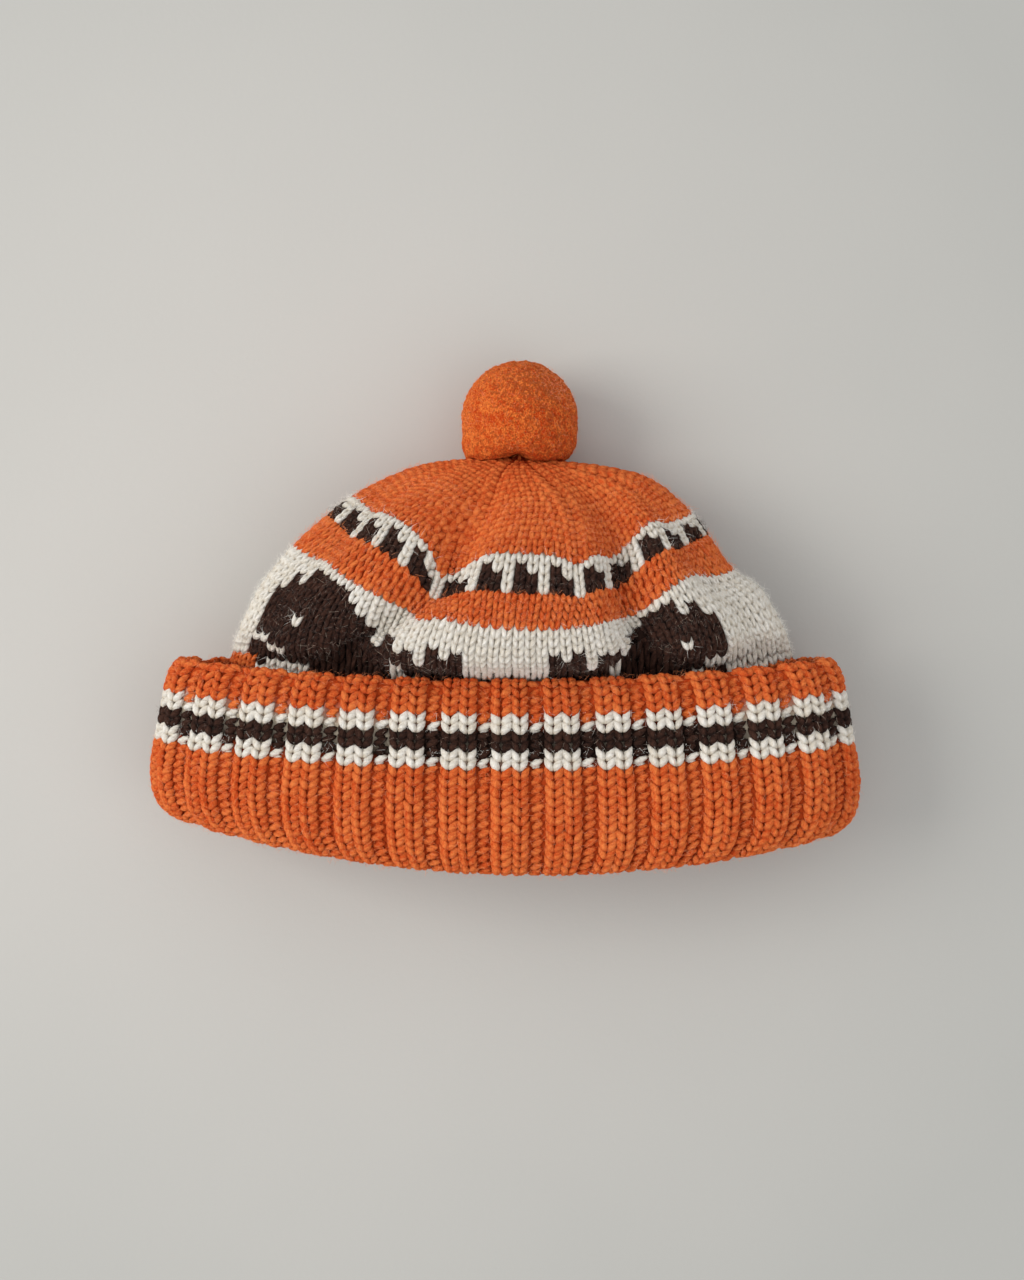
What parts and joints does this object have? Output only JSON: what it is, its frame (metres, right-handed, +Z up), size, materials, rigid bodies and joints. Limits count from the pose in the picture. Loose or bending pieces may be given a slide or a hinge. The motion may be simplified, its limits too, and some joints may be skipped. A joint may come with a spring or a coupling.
{
  "type": "knitted bobble hat with turned-up cuff",
  "caption": "Child's hand-knitted wool hat with a ribbed turned-up cuff, a colourwork crown with soft folds and a small dense pompom, lying on its back.",
  "frame": {"origin": "centre of the hat's footprint, on the surface that it lies on", "axes": "+Z up from the surface, through the front of the hat; +Y from the opening towards the pompom; +X to the right as seen from above"},
  "size_m": [0.2296, 0.1656, 0.071],
  "materials": {
    "orange_wool": "thick knitted wool, matt and hairy",
    "cream_wool": "thick knitted wool, matt and hairy",
    "brown_wool": "thick knitted wool, matt, with pale hairs",
    "pompom_wool": "dense trimmed wool tufts, matt and felted"
  },
  "bodies": {
    "root": {"cuff": "orange_wool", "crown": "cream_wool", "pompom": "pompom_wool"}
  },
  "joints": []
}
